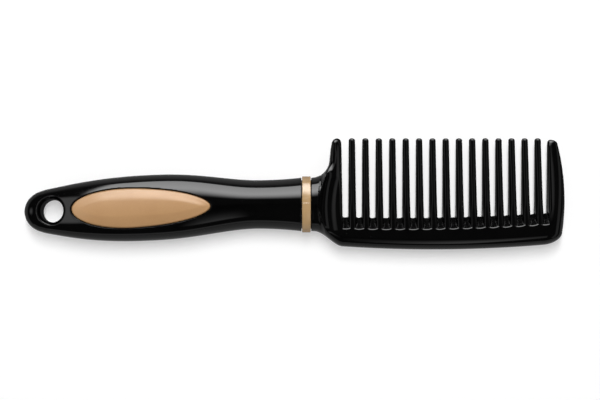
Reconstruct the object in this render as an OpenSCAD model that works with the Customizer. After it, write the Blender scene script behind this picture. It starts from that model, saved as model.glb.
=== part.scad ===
// Wide-tooth handle comb: a toothed head on a tang, a trim ring, and a hollow handle of two shells
// with an oval grip insert let into each.
// X runs from the tail of the handle to the far end of the head, Y towards the tips of the teeth,
// and Z up through the thickness. The origin is under the middle of the comb, at its lowest level.

/* [Handle] */
// Length of the handle from the end of the tail to the mouth
handle_len = 118; // [105:1:135]
// Width of the tail where its end has rounded off
tail_w = 18.2; // [17:0.1:22]
// Thickness of the tail where its end has rounded off
tail_t = 12.8; // [12:0.1:17]
// Distance from the end of the tail to where it starts to swell
tail_at = 7; // [5:0.1:9]
// Length over which the end of the tail rounds off
tail_round = 10.2; // [8:0.1:12]
// How far the tail hangs towards the back of the comb
tail_droop = 3.05; // [0:0.05:5]
// Width of the belly, the widest part
belly_w = 28; // [26:0.1:31]
// Thickness of the belly
belly_t = 20.8; // [20:0.1:24]
// Distance from the end of the tail to the belly
belly_at = 53.4; // [46:0.1:60]
// Width of the waist
waist_w = 20.7; // [20.2:0.1:23]
// Thickness of the waist
waist_t = 19.6; // [19:0.1:22]
// Distance from the end of the tail to the waist
waist_at = 99.3; // [92:0.1:103]
// Width of the mouth
mouth_w = 22.9; // [22:0.1:25]
// Thickness of the mouth
mouth_t = 20.2; // [20:0.1:23]
// Wall of the shells
wall = 2.6; // [2.3:0.1:3]
// Squareness of the handle's cross-section, where 2 is an ellipse
section_power = 2.1; // [2:0.05:2.4]

/* [Hanging hole] */
// Diameter of the hanging hole
hang_hole_d = 10.4; // [8:0.1:11]
// Distance from the end of the tail to the middle of the hole
hang_hole_at = 12.4; // [11:0.1:14]
// Width of the chamfer at each mouth of the hole, along the handle
hang_chamfer = 1.1; // [0.8:0.1:1.5]

/* [Grip inserts] */
// Length of an insert
insert_len = 58.5; // [50:0.1:60]
// Width of an insert
insert_w = 17; // [14:0.1:18]
// Distance from the end of the tail to the near end of an insert
insert_at = 21.2; // [20.5:0.1:25]
// How far the head end of an insert lies off the middle line of the handle
insert_skew = 1.2; // [0:0.1:1.5]
// Depth of an insert below the surface of the handle
insert_depth = 1.4; // [1:0.1:1.6]
// How far an insert stands proud of the handle
insert_proud = 0.3; // [0.1:0.1:0.6]
// Gap round an insert in its pocket
insert_gap = 0.15; // [0.1:0.05:0.3]
// Gap under an insert in its pocket
seat_gap = 0.1; // [0.05:0.05:0.2]
// Diameter of a post under an insert
post_d = 3; // [2:0.1:4]
// Length of a post past the inside of the wall
post_reach = 2.5; // [1.5:0.1:3.5]

/* [Shell pins] */
// Diameter of a pin that joins the two shells
pin_d = 3.6; // [3:0.1:4.2]
// Length of a pin past the seam
pin_len = 4; // [3:0.1:5]
// Wall of the boss round a pin or socket
boss_wall = 1.6; // [1.2:0.1:2.2]
// Clearance of pins, posts, spigot and tang in what holds them
fit_clearance = 0.05; // [0.03:0.01:0.15]

/* [Trim ring] */
// Width of the ring along the handle
ring_w = 3.6; // [3:0.1:5]
// How far the ring stands proud of the mouth of the handle
ring_proud = 0.5; // [0.2:0.1:1]
// Rounding of the ring's outer edges
ring_round = 0.8; // [0.4:0.1:1.4]
// Groove on each side of the ring
ring_groove = 0.15; // [0.1:0.05:0.4]

/* [Tang] */
// Width of the spigot that carries the ring
spigot_w = 17.2; // [16:0.1:18]
// Thickness of the spigot that carries the ring
spigot_t = 14.4; // [13:0.1:15]
// Width of the tang
tang_w = 9; // [7:0.1:10]
// Thickness of the tang
tang_t = 8; // [6:0.1:8.4]
// Width of the cross head at the end of the tang
tang_head_w = 12; // [11:0.1:12.4]
// Length of the cross head along the handle
tang_head_len = 5; // [4:0.1:8]
// Length of the solid collar in the mouth of the handle
collar_len = 7; // [5:0.1:10]
// Thickness of the rib behind the cross head
rib_t = 2; // [1.5:0.1:3]

/* [Comb head] */
// Width of the neck
neck_w = 22.8; // [21:0.1:24.5]
// Thickness of the neck
neck_t = 19.6; // [18:0.1:21]
// Distance from the ring to the near guard tooth at its tip
neck_len = 9; // [8:0.1:14]
// Distance from the axis of the neck to the tips of the teeth
tip_reach = 28.3; // [24:0.1:36]
// Distance from the axis of the neck to the back of the spine
spine_reach = 19.2; // [18:0.1:22]
// Rise of the spine's back towards the far end
spine_bow = 2.8; // [0:0.1:4]
// Thickness of the spine
spine_t = 10; // [8:0.1:12]
// Distance from the axis of the neck to the floor of the first gap, towards the back
web_reach = 5.5; // [4:0.1:6.5]
// Rise of the floor of the gaps towards the far end
web_rise = 1.9; // [0:0.1:2.5]
// Length of the rounded nose of the web between two teeth
web_nose = 4.9; // [3:0.1:6]
// Rounding of the back of the spine
back_round = 3.4; // [2:0.1:4]

/* [Teeth] */
// Number of thin teeth between the two guard teeth
tooth_count = 15; // [8:1:20]
// Width of a thin tooth at its tip
tooth_tip_w = 2.5; // [2:0.1:3]
// Width of a thin tooth at its root
tooth_root_w = 3.05; // [2.5:0.05:3.5]
// Thickness of the teeth at their tips
tooth_tip_t = 2.7; // [2:0.1:3.5]
// Length of the rounded tip of a tooth
tip_round = 1.3; // [0.8:0.1:2]
// Width of the first gap at the tips
gap_w = 3.27; // [2.8:0.01:4]
// How much each gap is narrower than the one before
gap_narrowing = 0.0165; // [0:0.0005:0.02]
// Width of a guard tooth at its tip
guard_tip_w = 3.85; // [3:0.05:5]
// Slant of the near guard tooth's outer edge
guard_slant = 1.6; // [0:0.1:2.5]
// Bulge of the far guard tooth's outer edge past its tip
guard_bulge = 3.5; // [2:0.1:4.5]
// Radius of the hollow between the neck and the near guard tooth
shoulder_r = 7.6; // [5:0.1:9]

/* [Hidden] */

// How far a cut runs past the surface that it opens
overrun = 1;
// Thickness of the slices that a blade is hulled from
slice_t = 0.02;
// How far the root of a tooth lies below the faces of the spine that it grows from
root_sink = 0.3;

// Colours of the two plastics
black = [0.03, 0.03, 0.035];
tan_brown = [0.75, 0.58, 0.4];

// Counts that set how finely the curved surfaces are drawn
tail_steps = 6;
handle_steps = 24;
section_steps = 20;
cavity_steps = 12;
insert_steps = 40;
ring_steps = 48;
neck_steps = 14;
guard_steps = 5;
spine_steps = 14;
end_steps = 6;
quarter_steps = 5;
blade_steps = 16;
bulge_steps = 8;
round_steps = 48;
hole_steps = 72;
// Angles at which the slices of a tooth's rounded tip lie
tip_angles = [0, 30, 55, 72, 84];

// Where the droop of the tail has run out, as a share of the handle's length
droop_end_share = 0.88;
// How the handle swells from tail to belly, and from belly to waist
swell_power = 2.2;
narrow_power = 1.25;
// Stretch over which the swell starts softly, as a share of the way from tail to belly
soft_share = 0.06;

// Outline of an insert: where it is widest, and how full its two ends are
insert_widest_share = 0.395;
insert_tail_power = 2.2;
insert_head_power = 1.85;
// Rings of an insert as shares of its outline, and how proud each one stands
insert_ring_shares = [[0.4, 1], [0.75, 1], [0.93, 0.75], [1, 0]];
// Places of an insert's two posts as shares of its length
post_place_shares = [0.25, 0.79];
// Places of the shell pins under the inserts as shares of an insert's length
pin_place_shares = [0.12, 0.65];

// Where the neck widens into the spine, as shares of the way from the ring to the first gap
widen_shares = [0.08, 1.05];
// Where the neck thins into the flat head, as shares of the same way
thin_shares = [0.15, 0.8];
// Where the spine's back hangs lowest, as a share of the toothed length
spine_lowest_share = 0.41;
// Squareness of a tooth's cross-section, where 2 is an ellipse
blade_power = 2.4;

// Places along X, measured from the end of the tail
collar_x = handle_len - collar_len;
rib_x = collar_x - tang_head_len - 2 * fit_clearance;
insert_end_x = insert_at + insert_len;
pin_xs = concat(
    [for (share = pin_place_shares) insert_at + share * insert_len],
    [(insert_end_x + rib_x - rib_t) / 2]
);
ring_x = handle_len + ring_groove;
neck_x = ring_x + ring_w + ring_groove;
guard_x = neck_x + neck_len;
first_gap_x = guard_x + guard_tip_w;
gaps_len = (tooth_count + 1) * gap_w - gap_narrowing * tooth_count * (tooth_count + 1) / 2;
last_gap_x = first_gap_x + gaps_len + tooth_count * tooth_tip_w;
end_x = last_gap_x + guard_tip_w + guard_bulge;
toothed_len = end_x - first_gap_x;
// The near guard tooth's outer edge, where the hollow of the shoulder meets it
side_x = guard_x - guard_slant / 2;
// Where the far end of the spine starts to round off
round_x = end_x - guard_bulge - guard_tip_w;

// The level of the seam above the lowest point, and the shift that brings the origin to the middle
seam_z = belly_t / 2 + insert_proud;
middle_x = end_x / 2;
middle_y = (tip_reach - spine_reach) / 2;

// A rounded step from 0 to 1
function smooth(u) = let (v = max(0, min(1, u))) v * v * (3 - 2 * v);
function mix(a, b, share) = a + (b - a) * share;

// Cosine and sine that draw a superellipse
function square_cos(a, power) = sign(cos(a)) * pow(abs(cos(a)), 2 / power);
function square_sin(a, power) = sign(sin(a)) * pow(abs(sin(a)), 2 / power);

// How far the handle has swollen, a share of the way from tail to belly
function soft_start(u) = u <= 0 ? 0 : u * u * (1 + soft_share) / (u + soft_share);
function swell(u) = 1 - pow(1 - soft_start(u), swell_power);

// A size of the handle at x, from its sizes at the tail, belly, waist and mouth
function handle_size(x, tail, belly, waist, mouth) =
    x < belly_at ? mix(tail, belly, swell((x - tail_at) / (belly_at - tail_at)))
    : x < waist_at ? mix(belly, waist, smooth(pow((x - belly_at) / (waist_at - belly_at), narrow_power)))
    : mix(waist, mouth, pow((x - waist_at) / (handle_len - waist_at), 2));

// How the end of the tail rounds off, from 0 at its very end to 1
function tail_end(x) = x < tail_round ? sqrt(1 - pow((tail_round - x) / tail_round, 2)) : 1;

function half_w(x) = tail_end(x) * handle_size(x, tail_w, belly_w, waist_w, mouth_w) / 2;
function half_t(x) = tail_end(x) * handle_size(x, tail_t, belly_t, waist_t, mouth_t) / 2;
function middle_line(x) =
    -tail_droop * (1 + cos(180 * min(1, x / (droop_end_share * handle_len)))) / 2;

// Height of the handle's surface above the seam
function surface_z(x, y) =
    half_t(x) * pow(1 - pow(abs(y - middle_line(x)) / half_w(x), section_power), 1 / section_power);

// Faces between rings of equal count, closed by a cap at each end
function side_faces(rings, count) = [
    for (i = [0 : rings - 2], j = [0 : count - 1])
        let (a = i * count + j, b = i * count + (j + 1) % count)
            each [[a, b, a + count], [b, b + count, a + count]]
];
function start_cap(count) = [[for (j = [count - 1 : -1 : 0]) j]];
function end_cap(rings, count) = [[for (j = [0 : count - 1]) (rings - 1) * count + j]];

module loft(rings) {
    count = len(rings[0]);
    polyhedron(
        points = [for (r = rings) each r],
        faces = concat(start_cap(count), side_faces(len(rings), count), end_cap(len(rings), count))
    );
}

// A loft whose first ring closes on a point
module pointed_loft(point, rings) {
    count = len(rings[0]);
    apex = len(rings) * count;
    polyhedron(
        points = concat([for (r = rings) each r], [point]),
        faces = concat(
            [for (j = [0 : count - 1]) [apex, (j + 1) % count, j]],
            side_faces(len(rings), count),
            end_cap(len(rings), count)
        )
    );
}

// Moves what is drawn from the tail, the axis and the seam to the comb's own frame
module placed() {
    translate([-middle_x, -middle_y, seam_z]) children();
}

// Half of the handle's outer form, from the seam up
module handle_half() {
    xs = concat(
        [for (i = [1 : tail_steps]) tail_round * (1 - cos(90 * i / tail_steps))],
        [for (i = [1 : handle_steps]) mix(tail_round, handle_len, i / handle_steps)]
    );
    pointed_loft([0, middle_line(0), 0], [
        for (x = xs) [
            for (i = [0 : section_steps])
                let (a = 180 * i / section_steps)
                    [
                        x,
                        middle_line(x) - half_w(x) * square_cos(a, section_power),
                        half_t(x) * square_sin(a, section_power),
                    ]
        ]
    ]);
}

// The hollow of the handle between two places
module cavity(from_x, to_x) {
    loft([
        for (i = [0 : cavity_steps])
            let (x = mix(from_x, to_x, i / cavity_steps))
                [
                    for (j = [0 : 2 * section_steps - 1])
                        let (a = 180 * j / section_steps)
                            [
                                x,
                                middle_line(x) - (half_w(x) - wall) * cos(a),
                                (half_t(x) - wall) * sin(a),
                            ]
                ]
    ]);
}

// A point of an insert's outline, grown by an outset and drawn in to a share
function insert_point(a, outset, share) =
    let (
        widest = insert_len * insert_widest_share,
        power = cos(a) < 0 ? insert_tail_power : insert_head_power,
        reach = (cos(a) < 0 ? widest : insert_len - widest) + outset,
        along = widest + share * reach * square_cos(a, power),
        x = insert_at + along,
        side = share * (insert_w / 2 + outset) * square_sin(a, power)
    )
    [x, middle_line(x) - insert_skew * along / insert_len + side];

// A patch of the handle's surface inside the insert's outline, from a depth to a height
module insert_patch(outset, depth, height, rim_height) {
    rings = len(insert_ring_shares);
    spots = concat(
        [insert_point(90, 0, 0)],
        [
            for (r = insert_ring_shares, i = [0 : insert_steps - 1])
                insert_point(360 * i / insert_steps, outset, r[0])
        ]
    );
    rises = concat([1], [for (r = insert_ring_shares, i = [0 : insert_steps - 1]) r[1]]);
    tops = [
        for (i = [0 : len(spots) - 1])
            let (s = spots[i]) [s[0], s[1], surface_z(s[0], s[1]) + mix(rim_height, height, rises[i])]
    ];
    bottoms = [for (s = spots) [s[0], s[1], surface_z(s[0], s[1]) - depth]];
    half = len(spots);
    fan = [for (i = [0 : insert_steps - 1]) [0, 1 + i, 1 + (i + 1) % insert_steps]];
    bands = [
        for (r = [0 : rings - 2], i = [0 : insert_steps - 1])
            let (
                a = 1 + r * insert_steps + i,
                b = 1 + r * insert_steps + (i + 1) % insert_steps
            )
                each [[a, a + insert_steps, b], [b, a + insert_steps, b + insert_steps]]
    ];
    rim = 1 + (rings - 1) * insert_steps;
    walls = [
        for (i = [0 : insert_steps - 1])
            let (a = rim + i, b = rim + (i + 1) % insert_steps)
                each [[a, a + half, b], [b, a + half, b + half]]
    ];
    skin = concat(fan, bands);
    polyhedron(
        points = concat(tops, bottoms),
        faces = concat(
            [for (f = skin) [f[0], f[2], f[1]]],
            [for (f = skin) [f[0] + half, f[1] + half, f[2] + half]],
            walls
        )
    );
}

// A post, or the hole for one, at a share of the insert's length and between two depths
module post(share, radius, from_depth, to_depth) {
    x = insert_at + insert_len * share;
    y = middle_line(x) - insert_skew * share;
    translate([x, y, surface_z(x, y) - to_depth])
        cylinder(r = radius, h = to_depth - from_depth, $fn = round_steps);
}

module grip_insert() {
    insert_patch(0, insert_depth, insert_proud, 0);
    for (share = post_place_shares) post(share, post_d / 2, insert_depth / 2, wall + post_reach);
}

// The hanging hole, with a chamfer that leans with the surface of the tail
module hang_hole() {
    radius = hang_hole_d / 2;
    low = half_t(hang_hole_at - radius);
    high = half_t(hang_hole_at + radius);
    chamfer_h = hang_chamfer + 2 * overrun;
    foot = radius - overrun;
    translate([hang_hole_at, middle_line(hang_hole_at), 0]) {
        translate([0, 0, -overrun]) cylinder(r = radius, h = high + 2 * overrun, $fn = hole_steps);
        translate([0, 0, (low + high) / 2])
            rotate([0, -atan((high - low) / hang_hole_d), 0])
                translate([0, 0, overrun - chamfer_h])
                    cylinder(r1 = foot, r2 = foot + chamfer_h, h = chamfer_h, $fn = hole_steps);
    }
}

// The shape that both shells share, from the seam up
module shell_half() {
    hollow_x = hang_hole_at + hang_hole_d / 2 + wall;
    difference() {
        union() {
            difference() {
                handle_half();
                cavity(hollow_x, rib_x - rib_t);
                cavity(rib_x, collar_x);
            }
            for (x = pin_xs) pin_boss(x);
        }
        translate([collar_x - overrun, -tang_w / 2 - fit_clearance, -overrun])
            cube([
                collar_len + 2 * overrun,
                tang_w + 2 * fit_clearance,
                tang_t / 2 + fit_clearance + overrun,
            ]);
        insert_patch(insert_gap, insert_depth + seat_gap, overrun, overrun);
        for (share = post_place_shares)
            post(share, post_d / 2 + fit_clearance, insert_depth / 2, wall + post_reach);
        hang_hole();
    }
}

// A boss from the seam up into the wall
module pin_boss(x) {
    translate([x, middle_line(x), 0])
        cylinder(r = pin_d / 2 + boss_wall, h = half_t(x) - wall / 2, $fn = round_steps);
}

module pins(radius, reach) {
    for (x = pin_xs)
        translate([x, middle_line(x), -reach])
            cylinder(r = radius, h = reach + overrun, $fn = round_steps);
}

module handle_front_shell() {
    color(black) placed() {
        shell_half();
        pins(pin_d / 2, pin_len);
    }
}

module handle_back_shell() {
    color(black) placed() mirror([0, 0, 1]) difference() {
        shell_half();
        translate([0, 0, pin_len + 2 * fit_clearance])
            pins(pin_d / 2 + fit_clearance, pin_len + 2 * fit_clearance + overrun);
    }
}

module front_grip_insert() {
    color(tan_brown) placed() grip_insert();
}

module back_grip_insert() {
    color(tan_brown) placed() mirror([0, 0, 1]) grip_insert();
}

// The ring's profile, from its bore out over its two rounded edges and back
module trim_ring() {
    lip = ring_round * (1 - cos(45));
    profile = [
        [0, 0, 0],
        [0, 1, -ring_round],
        [lip, 1, -lip],
        [ring_round, 1, 0],
        [ring_w - ring_round, 1, 0],
        [ring_w - lip, 1, -lip],
        [ring_w, 1, -ring_round],
        [ring_w, 0, 0],
    ];
    bore = [spigot_w / 2 + fit_clearance, spigot_t / 2 + fit_clearance];
    rim = [mouth_w / 2 + ring_proud, mouth_t / 2 + ring_proud];
    rings = [
        for (i = [0 : ring_steps - 1])
            let (a = 360 * i / ring_steps)
                [
                    for (p = profile)
                        [
                            ring_x + p[0],
                            (mix(bore[0], rim[0], p[1]) + p[2]) * square_cos(a, section_power),
                            (mix(bore[1], rim[1], p[1]) + p[2]) * square_sin(a, section_power),
                        ]
                ]
    ];
    count = len(profile);
    color(tan_brown) placed() polyhedron(
        points = [for (r = rings) each r],
        faces = [
            for (i = [0 : ring_steps - 1], j = [0 : count - 1])
                let (
                    a = i * count + j,
                    b = i * count + (j + 1) % count,
                    c = (i + 1) % ring_steps * count + j,
                    d = (i + 1) % ring_steps * count + (j + 1) % count
                )
                    each [[a, b, c], [b, d, c]]
        ]
    );
}

// Half thickness of the flat head at y: a wedge from the spine to the tips
function head_half_t(y) =
    mix(tooth_tip_t, spine_t, (tip_reach - y) / (tip_reach + spine_reach - back_round)) / 2;

// The back of the spine, a shallow bow
function spine_back(x) =
    let (lowest = first_gap_x + spine_lowest_share * toothed_len)
        -spine_reach + spine_bow * pow((x - lowest) / (end_x - lowest), 2);

// The floor of the gaps
function web_front(x) = -web_reach + web_rise * pow(max(0, (x - first_gap_x) / toothed_len), 2);

// How far along a change between two shares of the way from the ring to the first gap is at x
function change(x, shares) =
    let (along = (x - neck_x) / (first_gap_x - neck_x))
        smooth((along - shares[0]) / (shares[1] - shares[0]));

// The front edge: the neck's side, up the hollow of the shoulder, then inside the guard to the gaps
function front_edge(x) =
    x < side_x - shoulder_r ? neck_w / 2
    : x < side_x ? neck_w / 2 + shoulder_r - sqrt(pow(shoulder_r, 2) - pow(x - side_x + shoulder_r, 2))
    : mix(neck_w / 2 + shoulder_r, web_front(x), smooth((x - side_x) / (first_gap_x - side_x)));

// How the far end of the spine rounds off, from 1 to 0 at its very end
function far_end(x) = x < round_x ? 1 : sqrt(max(0, 1 - pow((x - round_x) / (end_x - round_x), 2)));

// One cross-section of the neck and spine, from the back over the top to the front edge and under
function spine_ring(x) =
    let (
        flat = change(x, thin_shares),
        shrink = far_end(x),
        front = front_edge(x),
        back_edge = mix(-neck_w / 2, spine_back(x), change(x, widen_shares)),
        back = mix(front - web_nose, back_edge, shrink),
        front_round = x < first_gap_x ? mix(neck_w / 2, back_round, flat) : web_nose,
        rear_round = min(mix(neck_w / 2, back_round, flat), front - back - front_round),
        front_top = shrink * mix(neck_t / 2, head_half_t(front - front_round), flat),
        rear_top = shrink * mix(neck_t / 2, head_half_t(back_edge + back_round), flat),
        top = [
            for (i = [0 : quarter_steps])
                let (a = 90 * i / quarter_steps)
                    [x, back + rear_round * (1 - cos(a)), rear_top * sin(a)],
            for (i = [0 : quarter_steps])
                let (a = 90 - 90 * i / quarter_steps)
                    [x, front - front_round * (1 - cos(a)), front_top * sin(a)],
        ]
    )
    concat(top, [for (i = [len(top) - 2 : -1 : 1]) [x, top[i][1], -top[i][2]]]);

module spine() {
    xs = concat(
        [for (i = [0 : neck_steps - 1]) mix(neck_x, side_x, sin(90 * i / neck_steps))],
        [for (i = [0 : guard_steps - 1]) mix(side_x, first_gap_x, i / guard_steps)],
        [for (i = [0 : spine_steps - 1]) mix(first_gap_x, round_x, i / spine_steps)],
        [for (i = [0 : end_steps - 1]) mix(round_x, end_x, sin(90 * i / end_steps))]
    );
    loft([for (x = xs) spine_ring(x)]);
}

// A slice across a tooth at y, between two edges
module blade_slice(y, left, right, thickness) {
    translate([(left + right) / 2, y, 0])
        rotate([90, 0, 0])
            linear_extrude(height = slice_t)
                polygon([
                    for (i = [0 : blade_steps - 1])
                        let (a = 360 * i / blade_steps)
                            [
                                (right - left) / 2 * square_cos(a, blade_power),
                                thickness / 2 * square_sin(a, blade_power),
                            ]
                ]);
}

// The rounded end of a tooth, in slices that shrink to its tip
module blade_tip(left, right) {
    width = right - left;
    for (a = tip_angles) {
        shrink = cos(a);
        blade_slice(
            tip_reach - tip_round * (1 - sin(a)),
            left + (1 - shrink) * width / 2,
            right - (1 - shrink) * width / 2,
            2 * head_half_t(tip_reach - tip_round) * shrink
        );
    }
}

// Where the root of a tooth at x ends inside the spine, and its thickness there
function root_y(x) = web_front(x) - web_nose - back_round / 2;
function root_t(x) = 2 * (head_half_t(root_y(x)) - root_sink);

module thin_tooth(x) {
    hull() {
        blade_tip(x - tooth_tip_w / 2, x + tooth_tip_w / 2);
        blade_slice(
            root_y(x),
            x - tooth_root_w / 2,
            x + tooth_root_w / 2,
            root_t(x)
        );
    }
}

// The near guard tooth, whose outer edge slants out to the shoulder
module near_guard() {
    hull() {
        blade_tip(guard_x, first_gap_x);
        blade_slice(
            root_y(first_gap_x),
            guard_x - guard_slant,
            first_gap_x + (tooth_root_w - tooth_tip_w) / 2,
            root_t(first_gap_x)
        );
    }
}

// The far guard tooth, whose outer edge bulges to the end of the comb
module far_guard() {
    hull() {
        blade_tip(last_gap_x, last_gap_x + guard_tip_w);
        for (i = [0 : bulge_steps]) {
            u = i / bulge_steps;
            y = mix(0, tip_reach - tip_round, u);
            blade_slice(
                y,
                last_gap_x - (tooth_root_w - tooth_tip_w) / 2 * (1 - u),
                end_x - guard_bulge * u * u,
                2 * head_half_t(y)
            );
        }
        blade_slice(root_y(end_x), last_gap_x, end_x - guard_bulge / 2, root_t(end_x));
    }
}

// The spigot that carries the ring, and the tang with the cross head that the handle traps
module spigot_and_tang() {
    loft([
        for (x = [ring_x, neck_x + overrun]) [
            for (i = [0 : ring_steps - 1])
                let (a = 360 * i / ring_steps)
                    [
                        x,
                        -spigot_w / 2 * square_cos(a, section_power),
                        spigot_t / 2 * square_sin(a, section_power),
                    ]
        ]
    ]);
    head_x = handle_len - collar_len - fit_clearance - tang_head_len;
    translate([head_x, -tang_w / 2, -tang_t / 2]) cube([neck_x - head_x, tang_w, tang_t]);
    translate([head_x, -tang_head_w / 2, -tang_t / 2]) cube([tang_head_len, tang_head_w, tang_t]);
}

module comb_head() {
    color(black) placed() {
        spine();
        for (k = [0 : tooth_count - 1])
            thin_tooth(
                first_gap_x + (k + 1) * gap_w - gap_narrowing * k * (k + 1) / 2 + (k + 0.5) * tooth_tip_w
            );
        near_guard();
        far_guard();
        spigot_and_tang();
    }
}

comb_head();
trim_ring();
handle_front_shell();
handle_back_shell();
front_grip_insert();
back_grip_insert();
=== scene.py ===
"""Wide-tooth handle comb on a pale floor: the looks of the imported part."""

import math

import bpy
import numpy as np
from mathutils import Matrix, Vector


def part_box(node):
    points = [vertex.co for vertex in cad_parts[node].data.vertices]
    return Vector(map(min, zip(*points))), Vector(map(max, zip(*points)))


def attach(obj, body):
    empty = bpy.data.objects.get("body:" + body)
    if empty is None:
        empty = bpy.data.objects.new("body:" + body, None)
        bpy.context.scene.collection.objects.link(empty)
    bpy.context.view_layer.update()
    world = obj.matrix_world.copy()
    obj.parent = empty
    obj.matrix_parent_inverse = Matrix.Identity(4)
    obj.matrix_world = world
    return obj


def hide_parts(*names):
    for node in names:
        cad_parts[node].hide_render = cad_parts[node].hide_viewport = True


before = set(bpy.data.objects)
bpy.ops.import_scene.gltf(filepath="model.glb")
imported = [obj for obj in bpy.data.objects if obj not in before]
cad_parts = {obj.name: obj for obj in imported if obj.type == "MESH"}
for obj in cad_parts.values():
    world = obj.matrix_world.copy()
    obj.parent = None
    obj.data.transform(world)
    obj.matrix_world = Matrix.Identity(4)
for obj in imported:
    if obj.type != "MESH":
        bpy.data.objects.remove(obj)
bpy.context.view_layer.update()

MM = 0.001

# Camera in metres. It and the floor are rolled about the comb's length, as the comb lies a little tilted.
rest_roll = math.radians(3.5)
floor_up = Vector((0, -math.sin(rest_roll), math.cos(rest_roll)))
camera_distance = 0.6
camera_lens = 84.5
aim_x = 2.28 * MM
aim_y = -2.68 * MM

# Key lamp in metres, its tilt from straight up and its direction from +X in degrees
key_power = 6.1
key_width = 0.1
key_height = 0.4
key_tilt = 13
key_direction = 90
key_distance = 0.9

# Strength of the room's light on matt surfaces and in the gloss
room_light = 0.4
room_gloss = 0.03

# Floor: its shades for light and for the camera, the glow added for the camera, and its glow in the gloss of
# the comb, which fades from near to far between two places in metres
floor_size = 4.0
floor_shade = 0.8
floor_camera_shade = 0.62
floor_lift = 0.42
near_gloss = 0.3
far_gloss = 0.1
gloss_fade = (0.12, 0.04)

# Painted shadow: that glow is made weaker under the teeth and round the hanging hole, where the floor lies in
# their shade, and fades between these places in metres
painted_teeth_shadow = 0.65
teeth_fade_x = (0.012, 0.022)
teeth_fade_y = (-0.012, -0.004)
painted_hole_shadow = 0.85
hole_place = (-0.1026, -0.0075, 0)
hole_fade = (0.006, 0.0095)

# Plastic: sizes of its clouds, flecks, polish, waves and grain in metres, the clouds' share in its colour,
# which part of a noise is used, how much duller a rubbed edge is, how many times higher than the grain
# the waves are, its coat and the parting line
cloud_size, fleck_size, polish_size = 9 * MM, 0.7 * MM, 2.5 * MM
wave_size, grain_size = 6 * MM, 0.35 * MM
cloud_share = 0.6
tint_range = (0.35, 0.65)
noise_range = (0.3, 0.7)
worn_range = (0.53, 0.62)
worn_roughness = 0.06
wave_strength = 8
coat_roughness = 0.09
line_width = 0.25 * MM
line_height = 0.1

# From here on the comb is in millimetres: x runs from the tail end, y from the neck's axis toward the tips of
# the teeth, and z from the seam between the handle's halves. These places and sizes are from the solids'
# boxes, and seam_height, tail_start and axis_side, where x, y and z start, are in metres.
tip_reach = 28.3
low_head, high_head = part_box("comb_head")
low_front, high_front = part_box("handle_front_shell")
low_ring, high_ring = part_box("trim_ring")
seam_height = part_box("handle_back_shell")[1].z
tail_start = low_front.x
axis_side = high_head.y - tip_reach * MM
handle_len = (high_front.x - tail_start) / MM
end_x = (high_head.x - tail_start) / MM
spine_reach = (axis_side - low_head.y) / MM
ring_x = (low_ring.x - tail_start) / MM
ring_w = (high_ring.x - low_ring.x) / MM
ring_out_t = (high_ring.z - low_ring.z) / MM / 2
ring_out_w = (high_ring.y - low_ring.y) / MM / 2

# Handle: its widths and thicknesses at the tail, belly, waist and mouth, and how it goes from one to the next
tail_w, tail_t, tail_at, tail_round = 18.2, 12.8, 7.0, 10.2
belly_w, belly_t, belly_at = 28.0, 20.8, 53.4
waist_w, waist_t, waist_at = 20.7, 19.6, 99.3
mouth_w, mouth_t, mouth_round, mouth_back = 22.9, 20.2, 0.22, 0.15
swell_power, narrow_power, soft_share = 2.2, 1.25, 0.06
tail_droop, droop_end_share = 3.05, 0.88
section_power, mouth_power, mouth_power_start, mouth_power_reach = 2.1, 1.82, 66, 30
seam_gap, seam_round = 0.02, 0.22

# Hanging hole: its place, its radius at the seam, its taper and the chamfer round it
hole_at, hole_throat, hole_taper, hole_bend = 12.4, 4.72, math.radians(3), 0.2
rim_r, chamfer_tilt, chamfer_bend = 6.13, math.radians(57), 0.3

# Insert and its pocket
insert_len, insert_w, insert_at, insert_skew, insert_rise = 58.5, 16.65, 21.2, 1.2, 0.3
insert_widest_share, insert_tail_power, insert_head_power = 0.395, 2.03, 1.85
insert_proud, insert_dome, dome_reach, insert_round = -0.3, 0.59, 5.6, 0.7
insert_lift, insert_foot_bend = 0.1, 0.2
pocket_depth, pocket_gap, pocket_round = 1.4, 0.3, 0.25

# Ring, the grooves beside it down to the spigot it sits on, and its parting line
groove, ring_deep, ring_edge, ring_bore_gap = 0.3, 1.6, 0.28, 0.05
ring_turns, ring_edge_steps, parting_line_y = 180, 17, -0.2
spigot_gap, spigot_overlap = 0.02, 1

# Neck, and the step from its roundness down to the head's flat plate
neck_x = ring_x + ring_w + groove
neck_w, neck_t, neck_round, shoulder_r = 22.8, 19.6, 0.2, 7.6
step_start, step_bow, step_reach, steep_reach, step_share = 124.7, 0.01, 9.2, 4.5, 0.72
step_round, step_round_rate, widen_from, widen_to = 2.0, 4.4, 0.08, 1.05

# Spine, which is bowed, and the head's thickness, which tapers toward the tips
first_gap_x, last_gap_x = 134.75, 222.59
spine_bow, spine_lowest_share, back_round = 2.8, 0.41, 4.2
spine_t, tooth_tip_t, taper_start, taper_bend = 10.3, 2.7, -7.5, 0.3

# Guards: outer edges, inner faces and roundings
near_edge_heights = (8, 16, 19, 23.2, 27.4, 28.3)
near_edge_places = (129.5, 129.7, 129.85, 130.25, 130.95, 131.25)
far_bow, far_bow_middle, far_round = 0.0052, 3, 7.0
near_inner_x, near_inner_lean, far_inner_x, far_inner_lean = 134.9, 0.4, 222.8, 0.15
guard_round, guard_round_start, guard_round_reach = 2.9, 128.5, 2.5
guard_tip_flank, guard_tip_start, guard_tip_reach, guard_tip_round = 1.9, 21, 5, 2.1
guard_inner_round, guard_inner_start, guard_inner_reach = 1.4, 3, 5
guard_corner, guard_corner_start, guard_corner_reach = 2.4, 4, 3

# Web behind the gaps: two faces that slope together to a front edge
web_reach, web_bow, web_middle, web_nose, web_height = 5.66, 0.00052, 159.8, 5.5, 5.15
web_curl, web_curl_limit, web_edge_bend, web_bend = 0.22, 1.2, 0.3, 0.16
corner_bend, corner_seam_bend, corner_seam_reach = 0.3, 0.5, 0.8

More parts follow.
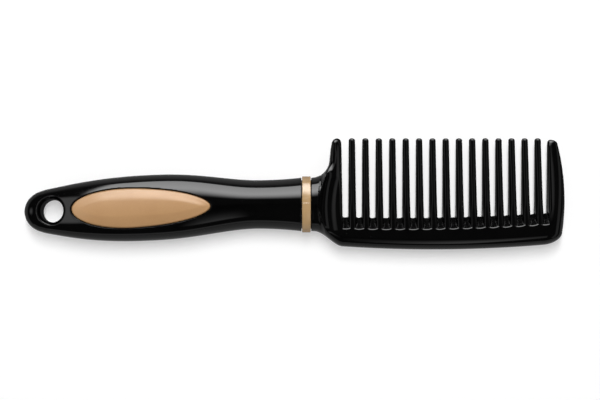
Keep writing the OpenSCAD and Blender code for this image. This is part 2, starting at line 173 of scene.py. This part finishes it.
# Thin teeth
tooth_count, tooth_tip_w, tooth_root_w, tip_round, gap_w, gap_narrowing = 15, 2.5, 3.05, 1.0, 3.27, 0.0165
tooth_full, tooth_shift, tooth_drift, root_full = 0.2, 0.12, 0.3, 0.17
blade_power, root_power, root_power_start, root_power_reach = 2.4, 3.6, 2, 7
sink_depth, sink_start, sink_reach, tooth_overlap, tooth_end_bend = 0.5, 0.2, 1.6, 2.5, 1.0
root_bend, root_seam_bend, root_seam_reach = 0.18, 0.4, 0.5
tooth_number = np.arange(tooth_count)
narrowed = gap_narrowing * tooth_number * (tooth_number + 1) / 2
tooth_places = first_gap_x + (tooth_number + 1) * gap_w - narrowed + (tooth_number + 0.5) * tooth_tip_w
tooth_ends = np.concatenate(([first_gap_x - tooth_tip_w / 2], tooth_places, [last_gap_x + tooth_tip_w / 2]))
gap_places = (tooth_ends[:-1] + tooth_ends[1:]) / 2

# Grids that the surfaces are made on: the corners of their boxes, the cell, how many layers are worked out at
# once, and how points settle on a surface
shell_box = (-0.6, -20.0, -0.6), (118.9, 13.5, 11.2)
insert_box = (20, -13, 5), (81, 10, 12)
head_box = (117.3, -20, -10.5), (230.8, 29, 10.5)
grid_cell, slab, settle_rounds, least_slope, longest_step = 0.3, 16, 4, 0.05, 0.5
least_size, least_length = 1e-6, 1e-9


def put_in_scene(name, data):
    """A new object of the scene."""
    thing = bpy.data.objects.new(name, data)
    bpy.context.scene.collection.objects.link(thing)
    return thing


def empty_nodes(owner):
    """The cleared node tree of a material or a world."""
    owner.use_nodes = True
    tree = owner.node_tree
    tree.nodes.clear()
    return tree


def add_node(tree, kind, **values):
    """A new node with its properties set."""
    node = tree.nodes.new(kind)
    for name, value in values.items():
        setattr(node, name, value)
    return node


def math_node(tree, operation, *values):
    """The result of a math node whose inputs are numbers or other nodes' results."""
    node = add_node(tree, "ShaderNodeMath", operation=operation)
    for socket, value in zip(node.inputs, values):
        if isinstance(value, (int, float)):
            socket.default_value = value
        else:
            tree.links.new(value, socket)
    return node.outputs[0]


def times(tree, first, second):
    return math_node(tree, "MULTIPLY", first, second)


def place_node(tree):
    """The place on the object, in metres."""
    return add_node(tree, "ShaderNodeTexCoord").outputs["Object"]


def split_place(tree, place):
    """The X and the Y of a place."""
    split = add_node(tree, "ShaderNodeSeparateXYZ")
    tree.links.new(place, split.inputs[0])
    return split.outputs["X"], split.outputs["Y"]


def fade(tree, value, start, end):
    """Goes softly from 0 at start to 1 at end."""
    ramp = add_node(tree, "ShaderNodeMapRange", interpolation_type="SMOOTHSTEP")
    tree.links.new(value, ramp.inputs["Value"])
    ramp.inputs["From Min"].default_value = start
    ramp.inputs["From Max"].default_value = end
    return ramp.outputs["Result"]


def spread(tree, value, lowest, highest, start, end):
    """Stretches the values between start and end over a new range."""
    ramp = add_node(tree, "ShaderNodeMapRange")
    tree.links.new(value, ramp.inputs["Value"])
    ramp.inputs["From Min"].default_value = start
    ramp.inputs["From Max"].default_value = end
    ramp.inputs["To Min"].default_value = lowest
    ramp.inputs["To Max"].default_value = highest
    return ramp.outputs["Result"]


def noise(tree, place, size, detail):
    """Soft noise whose lumps are about a size in metres across."""
    node = add_node(tree, "ShaderNodeTexNoise")
    node.inputs["Scale"].default_value = 1 / size
    node.inputs["Detail"].default_value = detail
    tree.links.new(place, node.inputs["Vector"])
    return node.outputs["Fac"]


def set_surface(tree, shader, kind="ShaderNodeOutputMaterial"):
    """Ends a node tree with a shader."""
    out = add_node(tree, kind)
    tree.links.new(shader.outputs[0], out.inputs["Surface"])


def panel(name, width, height):
    """A flat rectangle round its own middle."""
    mesh = bpy.data.meshes.new(name)
    corners = [(-width / 2, -height / 2, 0), (width / 2, -height / 2, 0),
               (width / 2, height / 2, 0), (-width / 2, height / 2, 0)]
    mesh.from_pydata(corners, [], [(0, 1, 2, 3)])
    return put_in_scene(name, mesh)


def away(polar, azimuth, distance):
    """A place at an angle from straight up and an angle from +X, both in degrees."""
    polar, azimuth = math.radians(polar), math.radians(azimuth)
    return (math.sin(polar) * math.cos(azimuth) * distance,
            math.sin(polar) * math.sin(azimuth) * distance,
            math.cos(polar) * distance)


def make_card(name, place, width, height, radiance, soft, low_share=1.0, level=False):
    """A glowing card that faces the comb, or lies level over it, and shows only in its gloss.

    soft holds how far the left, right, low and high edges fade, and low_share is how bright the low edge is
    beside the high edge.
    """
    card = panel(name, width, height)
    card.location = place
    if not level:
        card.rotation_euler = Vector(place).to_track_quat("Z", "Y").to_euler()
    material = bpy.data.materials.new(name)
    tree = empty_nodes(material)
    across, up = split_place(tree, place_node(tree))
    soft_left, soft_right, soft_low, soft_high = soft
    left = fade(tree, across, -width / 2, -width / 2 + soft_left)
    right = fade(tree, across, width / 2, width / 2 - soft_right)
    low = fade(tree, up, -height / 2, -height / 2 + soft_low)
    high = fade(tree, up, height / 2, height / 2 - soft_high)
    share = times(tree, times(tree, left, right), times(tree, low, high))
    slope = radiance * (1 - low_share) / height
    slant = math_node(tree, "MULTIPLY_ADD", up, slope, radiance * (1 + low_share) / 2)
    glow = add_node(tree, "ShaderNodeEmission")
    tree.links.new(times(tree, share, slant), glow.inputs["Strength"])
    set_surface(tree, glow)
    card.data.materials.append(material)
    card.visible_camera = False
    card.visible_diffuse = False
    card.visible_shadow = False


def make_cards():
    """The cards that draw the highlights."""
    make_card("softbox", away(54, 79, 1.0), width=1.39, height=1.14, radiance=8.8,
              soft=(0.52, 0.1, 0.01, 0.55), low_share=0.5)
    make_card("left_card", (-0.175, 0, 0.15), width=0.3, height=0.09, radiance=1.1,
              soft=(0.05, 0.05, 0.02, 0.02))
    make_card("tail_card", (-0.288, 0, 0.094), width=0.1, height=0.09, radiance=0.9,
              soft=(0.05, 0.05, 0.045, 0.045))
    make_card("guard_card", (0.55, 0.5, 1.0), width=0.5, height=0.8, radiance=0.46,
              soft=(0.12, 0.25, 0.15, 0.3), level=True)
    make_card("right_card", away(66, -2, 1.1), width=2.4, height=0.5, radiance=0.32,
              soft=(0.3, 0.3, 0.15, 0.15))
    make_card("spine_card", (0.2, -1.175, 1.0), width=0.5, height=2.25, radiance=0.8,
              soft=(0.36, 0.12, 0.5, 1.0), level=True)
    make_card("low_wall", (0, -1.6, 0.08), width=4.0, height=0.28, radiance=0.4,
              soft=(0.1, 0.1, 0.01, 0.1))


def make_key():
    """The lamp that casts the soft shadow and doesn't show in the gloss."""
    data = bpy.data.lights.new("key", "AREA")
    data.shape = "RECTANGLE"
    data.size = key_width
    data.size_y = key_height
    data.energy = key_power
    lamp = put_in_scene("key", data)
    lamp.location = away(key_tilt, key_direction, key_distance)
    lamp.rotation_euler = lamp.location.to_track_quat("Z", "Y").to_euler()
    lamp.visible_camera = False
    lamp.visible_glossy = False


def floor_glow(tree, place):
    """How strongly the floor glows in the comb's gloss, from place to place, dimmed by painted shadow under
    the teeth and round the hanging hole.
    """
    x, y = split_place(tree, place)
    gloss = math_node(tree, "MULTIPLY_ADD", fade(tree, y, *gloss_fade), near_gloss - far_gloss, far_gloss)
    # Painted shadow: the floor's glow is dimmed under the teeth and round the hanging hole
    under_teeth = times(tree, fade(tree, x, *teeth_fade_x), fade(tree, y, *teeth_fade_y))
    left_by_teeth_shadow = math_node(tree, "SUBTRACT", 1.0, times(tree, under_teeth, painted_teeth_shadow))
    to_hole = add_node(tree, "ShaderNodeVectorMath", operation="DISTANCE")
    tree.links.new(place, to_hole.inputs[0])
    to_hole.inputs[1].default_value = hole_place
    round_hole = fade(tree, to_hole.outputs["Value"], *hole_fade)
    left_by_hole_shadow = math_node(tree, "MAXIMUM", round_hole, 1 - painted_hole_shadow)
    return times(tree, gloss, times(tree, left_by_teeth_shadow, left_by_hole_shadow))


def make_floor():
    """A pale floor square to the camera, under the comb's lowest points."""
    lowest = min(vertex.co.dot(floor_up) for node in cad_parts.values() for vertex in node.data.vertices)
    floor = panel("floor", floor_size, floor_size)
    floor.location = floor_up * lowest
    floor.rotation_euler = (rest_roll, 0, 0)
    material = bpy.data.materials.new("floor")
    tree = empty_nodes(material)
    path = add_node(tree, "ShaderNodeLightPath")
    to_camera = path.outputs["Is Camera Ray"]
    mirrored = math_node(tree, "ADD", path.outputs["Is Glossy Ray"], path.outputs["Is Transmission Ray"])
    shade = math_node(tree, "MULTIPLY_ADD", to_camera, floor_camera_shade - floor_shade, floor_shade)
    diffuse = add_node(tree, "ShaderNodeBsdfDiffuse")
    tree.links.new(times(tree, shade, math_node(tree, "SUBTRACT", 1.0, mirrored)), diffuse.inputs["Color"])
    lift = times(tree, to_camera, floor_lift)
    gloss = times(tree, mirrored, floor_glow(tree, place_node(tree)))
    glow = add_node(tree, "ShaderNodeEmission")
    tree.links.new(math_node(tree, "ADD", lift, gloss), glow.inputs["Strength"])
    both = add_node(tree, "ShaderNodeAddShader")
    tree.links.new(diffuse.outputs[0], both.inputs[0])
    tree.links.new(glow.outputs[0], both.inputs[1])
    set_surface(tree, both)
    floor.data.materials.append(material)


def make_world():
    """Even light for matt surfaces, white for the camera, near black in the gloss."""
    world = bpy.data.worlds.new("room")
    bpy.context.scene.world = world
    tree = empty_nodes(world)
    path = add_node(tree, "ShaderNodeLightPath")
    plain = math_node(tree, "MULTIPLY_ADD", path.outputs["Is Camera Ray"], 1.0 - room_light, room_light)
    strength = math_node(tree, "MULTIPLY_ADD", path.outputs["Is Glossy Ray"], room_gloss - room_light, plain)
    back = add_node(tree, "ShaderNodeBackground")
    tree.links.new(strength, back.inputs["Strength"])
    set_surface(tree, back, "ShaderNodeOutputWorld")


def make_camera():
    """The camera straight over the floor."""
    data = bpy.data.cameras.new("camera")
    data.sensor_width = 36.0
    data.sensor_fit = "HORIZONTAL"
    data.lens = camera_lens
    data.clip_start = 0.01
    data.clip_end = 12.0
    camera = put_in_scene("camera", data)
    camera.location = Vector((aim_x, aim_y, seam_height)) + floor_up * camera_distance
    camera.rotation_euler = (rest_roll, 0, 0)
    bpy.context.scene.camera = camera


def plastic(name, dark, light, smooth, rough, grain, ior=1.5, coat=0.0, line_at=None):
    """Moulded plastic: cloudy colour, uneven polish, edges rubbed a little duller, faint waves and grain.

    dark and light are the ends of its colour, smooth and rough those of its roughness, grain is the height of
    the grain in millimetres, and line_at is where a fine parting line lies, in metres across the comb.
    """
    material = bpy.data.materials.new(name)
    tree = empty_nodes(material)
    shader = add_node(tree, "ShaderNodeBsdfPrincipled")
    place = place_node(tree)
    clouds = times(tree, noise(tree, place, cloud_size, detail=3.0), cloud_share)
    flecks = times(tree, noise(tree, place, fleck_size, detail=2.0), 1 - cloud_share)
    mottled = math_node(tree, "ADD", clouds, flecks)
    tint = add_node(tree, "ShaderNodeMix", data_type="RGBA")
    tint.inputs["A"].default_value = (*dark, 1)
    tint.inputs["B"].default_value = (*light, 1)
    tree.links.new(spread(tree, mottled, 0.0, 1.0, *tint_range), tint.inputs["Factor"])
    tree.links.new(tint.outputs["Result"], shader.inputs["Base Color"])
    polish = spread(tree, noise(tree, place, polish_size, detail=3.0), smooth, rough, *noise_range)
    edge = add_node(tree, "ShaderNodeNewGeometry").outputs["Pointiness"]
    worn = spread(tree, edge, 0.0, worn_roughness, *worn_range)
    tree.links.new(math_node(tree, "ADD", polish, worn), shader.inputs["Roughness"])
    waves = times(tree, noise(tree, place, wave_size, detail=1.0), wave_strength * grain)
    grains = times(tree, noise(tree, place, grain_size, detail=2.0), grain)
    height = math_node(tree, "ADD", waves, grains)
    if line_at is not None:
        offset = math_node(tree, "SUBTRACT", split_place(tree, place)[1], line_at)
        beside = math_node(tree, "ABSOLUTE", offset)
        height = math_node(tree, "ADD", height, times(tree, fade(tree, beside, line_width, 0.0), line_height))
    bump = add_node(tree, "ShaderNodeBump")
    bump.inputs["Strength"].default_value = 1.0
    bump.inputs["Distance"].default_value = MM
    tree.links.new(height, bump.inputs["Height"])
    tree.links.new(bump.outputs[0], shader.inputs["Normal"])
    shader.inputs["IOR"].default_value = ior
    shader.inputs["Coat Weight"].default_value = coat
    shader.inputs["Coat Roughness"].default_value = coat_roughness
    set_surface(tree, shader)
    return material


def clamp(u):
    return np.clip(u, 0.0, 1.0)


def ease(u):
    """Goes softly from 0 at 0 to 1 at 1."""
    v = clamp(u)
    return v * v * (3 - 2 * v)


def mix(a, b, u):
    return a + (b - a) * u


def round_both(a, b, radius):
    """Inside both, with the outer edge between them rounded."""
    beyond = np.hypot(np.maximum(a + radius, 0), np.maximum(b + radius, 0))
    return np.minimum(-radius, np.maximum(a, b)) + beyond


def soft_both(a, b, reach):
    """Inside both, with a soft bend between them."""
    h = np.maximum(reach - np.abs(a - b), 0) / reach
    return np.maximum(a, b) + h * h * reach / 4


def soft_either(a, b, reach):
    """Inside either, with a soft hollow between them."""
    return -soft_both(-a, -b, reach)


def oval(a, b, power):
    """Size of the rounded rectangle through a point given in half widths, and its slopes."""
    q = np.maximum((np.abs(a) ** power + np.abs(b) ** power) ** (1 / power), least_size)
    return q, (np.abs(a) / q) ** (power - 1), (np.abs(b) / q) ** (power - 1)


def outside(size, steep, least_steep):
    """About how far outside the surface a point lies, from a size that is 1 on it and how fast that grows."""
    return (size - 1) / np.maximum(steep, least_steep)


def rounded_bar(a, b, half_a, half_b, power, past_end, end_round, least_steep):
    """Distance outside a bar of oval section whose end is rounded over a length.

    a and b are the place in its section, and past_end is how far into that length a point lies.
    """
    q, slope_a, slope_b = oval(a / half_a, b / half_b, power)
    s = np.maximum(past_end / end_round, 0)
    size = np.maximum(np.hypot(q, s), least_size)
    steep = np.hypot(np.hypot(slope_a / half_a, slope_b / half_b) * q / size, s / size / end_round)
    return outside(size, steep, least_steep)


def nearest_of(places, x):
    """The nearest of places that stand in order."""
    return places[np.searchsorted((places[1:] + places[:-1]) / 2, x)]


def handle_size(x, tail, belly, waist, mouth):
    """The handle's width or thickness along it, from that at four places."""
    u = np.maximum((x - tail_at) / (belly_at - tail_at), 0)
    start = u * u * (1 + soft_share) / (u + soft_share)
    swell = 1 - np.maximum(1 - start, 0) ** swell_power
    slim = ease(clamp((x - belly_at) / (waist_at - belly_at)) ** narrow_power)
    flare = clamp((x - waist_at) / (handle_len - waist_at)) ** 2
    after = np.where(x < waist_at, mix(belly, waist, slim), mix(waist, mouth, flare))
    return np.where(x < belly_at, mix(tail, belly, swell), after)


def middle_line(x):
    """The handle's middle line, which droops toward the tail."""
    return -tail_droop * (1 + np.cos(np.pi * np.minimum(1, x / (droop_end_share * handle_len)))) / 2


def handle_skin(x, y, z):
    """Distance outside the handle's skin."""
    half_w = handle_size(x, tail_w, belly_w, waist_w, mouth_w) / 2
    half_t = handle_size(x, tail_t, belly_t, waist_t, mouth_t) / 2
    power = mix(section_power, mouth_power, ease((x - mouth_power_start) / mouth_power_reach))
    past_end = tail_round - x
    return rounded_bar(y - middle_line(x), z, half_w, half_t, power, past_end, tail_round, least_steep=0.03)


def insert_outline(x, y):
    """Distance outside the insert's oval, seen from above."""
    along = x - insert_at
    widest = insert_len * insert_widest_share
    line = middle_line(x) + insert_rise - insert_skew * along / insert_len
    toward_tail = along < widest
    power = np.where(toward_tail, insert_tail_power, insert_head_power)
    reach = np.where(toward_tail, widest, insert_len - widest)
    q, slope_x, slope_y = oval((along - widest) / reach, (y - line) / (insert_w / 2), power)
    return outside(q, np.hypot(slope_x / reach, slope_y / (insert_w / 2)), least_steep=0.02)


def shell(x, y, z):
    """The front half of the handle, with the hanging hole and the insert's pocket."""
    skin = handle_skin(x, y, z)
    body = round_both(skin, seam_gap / 2 - z, seam_round)
    body = round_both(body, x - handle_len + mouth_back, mouth_round)
    from_hole = np.hypot(x - hole_at, y - middle_line(hole_at))
    bore = (hole_throat + z * math.tan(hole_taper) - from_hole) * math.cos(hole_taper)
    body = soft_both(body, bore, hole_bend)
    chamfer = skin * math.cos(chamfer_tilt) + (rim_r - from_hole) * math.sin(chamfer_tilt)
    body = soft_both(body, chamfer, chamfer_bend)
    pocket = np.maximum(insert_outline(x, y) - pocket_gap, -(skin + pocket_depth))
    return soft_both(body, -pocket, pocket_round)


def insert(x, y, z):
    """The front insert, slightly domed and rounded along its rim."""
    skin = handle_skin(x, y, z)
    outline = insert_outline(x, y)
    dome = insert_proud + insert_dome * ease(-outline / dome_reach)
    body = round_both(outline, skin - dome, insert_round)
    return soft_both(body, -(skin + pocket_depth - insert_lift), insert_foot_bend)


def head_half_t(y):
    """Half the head's thickness: even over the spine and thinning toward the tips of the teeth."""
    share = (tip_reach - y) / (tip_reach - taper_start)
    bent = soft_either(share, np.ones_like(share), taper_bend)
    return mix(tooth_tip_t, spine_t, bent) / 2


def spine_back(x):
    """The back edge of the neck and the spine, which widens from the neck on and is bowed."""
    lowest = first_gap_x + spine_lowest_share * (end_x - first_gap_x)
    bowed = -spine_reach + spine_bow * ((x - lowest) / (end_x - lowest)) ** 2
    along = (x - neck_x) / (first_gap_x - neck_x)
    return mix(-neck_w / 2, bowed, ease((along - widen_from) / (widen_to - widen_from)))


def web_front(x):
    """The front edge of the web along the head."""
    return -web_reach + web_bow * (x - web_middle) ** 2


def far_edge(y):
    """The outer edge of the far guard."""
    return end_x - far_bow * (y - far_bow_middle) ** 2


def near_outline(x, y):
    """Distance outside the neck's front side and the near guard, with a round shoulder between them."""
    above = y - neck_w / 2
    beside = np.interp(y, near_edge_heights, near_edge_places) - x
    outline = np.maximum(shoulder_r, np.minimum(above, beside))
    return outline - np.hypot(np.maximum(shoulder_r - above, 0), np.maximum(shoulder_r - beside, 0))


def neck_step(x, y):
    """How far the sides and the top have gone from the neck's shape to the plate's."""
    past_step = x - step_start - step_bow * np.minimum(np.abs(y), neck_w / 2) ** 2
    down = clamp(past_step / step_reach)
    steep_down = clamp(past_step / steep_reach)
    flat = 1 - step_share * (1 - down) ** 2 - (1 - step_share) * (1 - steep_down) ** 2
    return ease(step_round_rate * down), flat


def head_plate(x, y, z):
    """The neck, the spine and both guards as one thick plate, before the gaps are cut."""
    squared, flat = neck_step(x, y)
    flank_round = mix(step_round, guard_round, ease((x - guard_round_start) / guard_round_reach))
    flank_round = mix(flank_round, guard_tip_flank, ease((y - guard_tip_start) / guard_tip_reach))
    front_round = mix(neck_w / 2, flank_round, squared)
    rear_round = mix(neck_w / 2, back_round, squared)
    top = mix(neck_t / 2, head_half_t(y), flat)
    ahead = np.maximum(1 + near_outline(x, y) / front_round, 0)
    behind = np.maximum((spine_back(x) + rear_round - y) / rear_round, 0)
    end = np.maximum(1 - (far_edge(y) - x) / far_round, 0)
    tip = np.maximum((y - tip_reach + guard_tip_round) / guard_tip_round, 0)
    size = np.sqrt(ahead ** 2 + behind ** 2 + end ** 2 + tip ** 2 + (z / top) ** 2)
    size = np.maximum(size, least_size)
    steep = np.sqrt((ahead / front_round) ** 2 + (behind / rear_round) ** 2 + (end / far_round) ** 2
                    + (tip / guard_tip_round) ** 2 + (z / top ** 2) ** 2) / size
    return outside(size, steep, least_steep=0.12)


def blade(x, y, z, before, after, sink):
    """A tooth whose crest is before and after wide on its two sides, rounded at the tip."""
    half_w = np.where(x < 0, before, after)
    half_t = head_half_t(y) - sink
    power = mix(blade_power, root_power, ease((root_power_start - y) / root_power_reach))
    past_end = y - tip_reach + tip_round
    return rounded_bar(x, z, half_w, half_t, power, past_end, tip_round, least_steep=0.1)


def root_sink(x, y):
    """How far a tooth's crest dips under the spine, from the bend behind the gaps on."""
    return sink_depth * ease((web_front(x) - web_nose + sink_start - y) / sink_reach)


def teeth(x, y, z):
    """The nearest of the thin teeth."""
    nearest = nearest_of(tooth_places, x)
    root = web_front(x)
    down = (tip_reach - y) / (tip_reach - root)
    half_w = (mix(tooth_tip_w, tooth_root_w, down) + tooth_full) / 2
    shift = tooth_shift + tooth_drift * (nearest - tooth_places[0]) / (tooth_places[-1] - tooth_places[0])
    tooth = blade(x - nearest - shift, y, z, half_w, half_w + root_full * clamp(down), root_sink(x, y))
    return soft_both(tooth, root - web_nose - tooth_overlap - y, tooth_end_bend)


def gap_hollow(x, y, z):
    """Outside the space between the guards: behind the web's slopes, or beside either guard's inner face."""
    off_centre = x - nearest_of(gap_places, x)
    curl = np.minimum(np.abs(off_centre) / gap_w * 2, web_curl_limit)
    base = web_front(x) + web_curl * curl ** 2
    slope = math.atan2(web_height, web_nose)
    upper = (z + (y - base) * math.tan(slope)) * math.cos(slope)
    lower = (-z + (y - base) * math.tan(slope)) * math.cos(slope)
    web = soft_both(upper, lower, web_edge_bend)
    down = clamp((tip_reach - y) / (tip_reach + web_reach))
    near = x - mix(near_inner_x, near_inner_x + near_inner_lean, down)
    far = mix(far_inner_x, far_inner_x - far_inner_lean, down) - x
    corner = corner_bend + corner_seam_bend * ease(1 - np.abs(z) / corner_seam_reach)
    return soft_either(soft_either(web, near, corner), far, corner)


def spigot(x, y, z):
    """The oval core under the ring, from the handle's mouth into the neck."""
    half_w = ring_out_w - ring_deep
    half_t = ring_out_t - ring_deep
    core = (oval(y / half_w, z / half_t, section_power)[0] - 1) * half_t
    ends = np.maximum(handle_len - mouth_back + spigot_gap - x, x - neck_x - spigot_overlap)
    return np.maximum(core, ends)


def head(x, y, z):
    """The whole comb head outside the handle."""
    from_web = y - web_front(x) + guard_inner_start
    bend = mix(web_bend, guard_inner_round, ease(from_web / guard_inner_reach))
    bend = mix(bend, guard_corner, ease((y - tip_reach + guard_corner_start) / guard_corner_reach))
    shape = soft_both(head_plate(x, y, z), gap_hollow(x, y, z), bend)
    root = root_bend + root_seam_bend * ease(1 - np.abs(z) / root_seam_reach)
    shape = soft_either(shape, teeth(x, y, z), root)
    shape = round_both(shape, neck_x - x, neck_round)
    return np.minimum(shape, spigot(x, y, z))


def steepest(distance, points, step=0.02):
    """Which way and how fast a distance grows at each point."""
    slopes = np.empty_like(points)
    for axis in range(3):
        shift = np.zeros(3)
        shift[axis] = step
        ahead = distance(*(points + shift).T)
        behind = distance(*(points - shift).T)
        slopes[:, axis] = (ahead - behind) / (2 * step)
    return slopes


def grid_values(distance, axes):
    """A distance at every point of a grid, worked out slab by slab."""
    values = np.empty([len(axis) for axis in axes])
    for start in range(0, len(axes[0]), slab):
        grid = np.meshgrid(axes[0][start:start + slab], axes[1], axes[2], indexing="ij")
        values[start:start + slab] = distance(*grid)
    return values


def crossing_places(values, where, corners):
    """The middle of the places where the edges of each crossed cell meet the surface, in cells."""
    at_corner = {c: values[where[:, 0] + c[0], where[:, 1] + c[1], where[:, 2] + c[2]] for c in corners}
    total = np.zeros((len(where), 3))
    hits = np.zeros(len(where))
    for c in corners:
        for axis in range(3):
            if c[axis] == 0:
                d = tuple(1 if n == axis else c[n] for n in range(3))
                a, b = at_corner[c], at_corner[d]
                crossing = (a < 0) != (b < 0)
                share = np.where(crossing, a / np.where(crossing, a - b, 1), 0)
                spot = np.array(c, float) + np.outer(share, np.eye(3)[axis])
                total += spot * crossing[:, None]
                hits += crossing
    return where + total / hits[:, None]


def settle(distance, points, cell):
    """Moves points onto the surface in short steps, and gives the normals there."""
    for _ in range(settle_rounds):
        slopes = steepest(distance, points)
        size = np.maximum((slopes ** 2).sum(1), least_slope)
        step = (distance(*points.T) / size)[:, None] * slopes
        length = np.maximum(np.linalg.norm(step, axis=1), least_length)
        points -= step * np.minimum(1, longest_step * cell / length)[:, None]
    slopes = steepest(distance, points)
    return slopes / np.maximum(np.linalg.norm(slopes, axis=1), least_length)[:, None]


def faces_across(inside, number):
    """Faces that join the points of the four cells round every grid edge that crosses the surface."""
    faces = []
    for axis in range(3):
        one, two = [(1, 2), (2, 0), (0, 1)][axis]
        span = [slice(None)] * 3
        span[axis] = slice(0, -1)
        ahead = [slice(None)] * 3
        ahead[axis] = slice(1, None)
        spots = np.argwhere(inside[tuple(span)] != inside[tuple(ahead)])
        spots = spots[(spots[:, one] > 0) & (spots[:, two] > 0)]
        spots = spots[(spots[:, one] < inside.shape[one] - 1) & (spots[:, two] < inside.shape[two] - 1)]
        leaving = inside[spots[:, 0], spots[:, 1], spots[:, 2]]
        ring_of_cells = []
        for step_one, step_two in ((0, 0), (-1, 0), (-1, -1), (0, -1)):
            cell_at = spots.copy()
            cell_at[:, one] += step_one
            cell_at[:, two] += step_two
            ring_of_cells.append(number[cell_at[:, 0], cell_at[:, 1], cell_at[:, 2]])
        quads = np.stack(ring_of_cells, 1)
        quads[~leaving] = quads[~leaving][:, ::-1]
        faces.append(quads)
    return np.concatenate(faces)


def skin_of(distance, low, high, cell):
    """Points, faces and normals of the surface where a distance is zero, a point to each crossed cell."""
    axes = [np.arange(a, b + cell, cell) for a, b in zip(low, high)]
    values = grid_values(distance, axes)
    inside = values < 0
    cells = [n - 1 for n in inside.shape]
    corners = [(i, j, k) for i in (0, 1) for j in (0, 1) for k in (0, 1)]
    filled = np.zeros(cells, np.int8)
    for i, j, k in corners:
        filled += inside[i:i + cells[0], j:j + cells[1], k:k + cells[2]]
    crossed = (filled > 0) & (filled < len(corners))
    where = np.argwhere(crossed)
    number = np.full(cells, -1, np.int64)
    number[crossed] = np.arange(len(where))
    points = np.array([axis[0] for axis in axes]) + crossing_places(values, where, corners) * cell
    normals = settle(distance, points, cell)
    return points, faces_across(inside, number), normals


def ring_mesh():
    """Points and faces of the ring's rounded band, with a bore for the spigot and no normals of its own."""
    profile = []
    for angle in np.linspace(-90, 90, ring_edge_steps):
        side = math.copysign(1, angle) if angle else 0
        along = math.sin(math.radians(angle)) * ring_edge + side * (ring_w / 2 - ring_edge)
        profile.append((along, (math.cos(math.radians(angle)) - 1) * ring_edge))
    profile.append((ring_w / 2, ring_bore_gap - ring_deep))
    profile.append((-ring_w / 2, ring_bore_gap - ring_deep))
    middle = ring_x + ring_w / 2
    points = []
    for turn in range(ring_turns):
        angle = 2 * math.pi * turn / ring_turns
        across = math.copysign(abs(math.cos(angle)) ** (2 / section_power), math.cos(angle))
        up = math.copysign(abs(math.sin(angle)) ** (2 / section_power), math.sin(angle))
        for along, out in profile:
            points.append((middle + along, across * (ring_out_w + out), up * (ring_out_t + out)))
    count = len(profile)
    faces = []
    for turn in range(ring_turns):
        here = turn * count
        there = (turn + 1) % ring_turns * count
        for step in range(count):
            after = (step + 1) % count
            faces.append((here + step, here + after, there + after, there + step))
    return np.array(points), np.array(faces), None


def make_piece(name, points, faces, normals, material, slot, mirror=False):
    """A piece of the comb from points in millimetres, turned over for the back of the handle."""
    points = points.copy()
    if mirror:
        points[:, 2] *= -1
        normals = normals * (1, 1, -1)
        faces = faces[:, ::-1]
    placed = points * MM + np.array([tail_start, axis_side, seam_height])
    mesh = bpy.data.meshes.new(name)
    mesh.vertices.add(len(placed))
    mesh.vertices.foreach_set("co", placed.ravel())
    mesh.loops.add(faces.size)
    mesh.loops.foreach_set("vertex_index", faces.ravel().astype(np.int32))
    mesh.polygons.add(len(faces))
    mesh.polygons.foreach_set("loop_start", np.arange(len(faces), dtype=np.int32) * faces.shape[1])
    mesh.update(calc_edges=True)
    mesh.polygons.foreach_set("use_smooth", np.ones(len(faces), bool))
    if normals is not None:
        mesh.normals_split_custom_set_from_vertices([tuple(n) for n in normals])
    mesh.materials.append(material)
    thing = put_in_scene(name, mesh)
    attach(thing, "root")
    return thing


make_camera()
make_cards()
make_key()
make_floor()
make_world()

black = plastic("black_gloss", dark=(0.0009, 0.0009, 0.001), light=(0.0016, 0.0016, 0.0016),
                smooth=0.055, rough=0.09, grain=0.0006)
tan = plastic("tan_insert", dark=(0.455, 0.247, 0.1), light=(0.485, 0.27, 0.113),
              smooth=0.46, rough=0.54, grain=0.0012, ior=1.7, coat=0.3)
glossy_tan = plastic("tan_ring", dark=(0.45, 0.285, 0.133), light=(0.48, 0.308, 0.146),
                     smooth=0.21, rough=0.26, grain=0.001, ior=1.8, line_at=axis_side + parting_line_y * MM)

found = skin_of(shell, *shell_box, grid_cell)
front_shell = make_piece("front_shell", *found, black, "handle_plastic")
back_shell = make_piece("back_shell", *found, black, "handle_plastic", mirror=True)
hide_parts("handle_front_shell")
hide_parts("handle_back_shell")

found = skin_of(insert, *insert_box, grid_cell)
front_inlay = make_piece("front_inlay", *found, tan, "insert_plastic")
back_inlay = make_piece("back_inlay", *found, tan, "insert_plastic", mirror=True)
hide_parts("front_grip_insert")
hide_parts("back_grip_insert")

comb = make_piece("comb", *skin_of(head, *head_box, grid_cell), black, "head_plastic")
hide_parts("comb_head")

band = make_piece("ring_band", *ring_mesh(), glossy_tan, "ring_plastic")
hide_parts("trim_ring")

bpy.context.scene.view_settings.view_transform = "Standard"
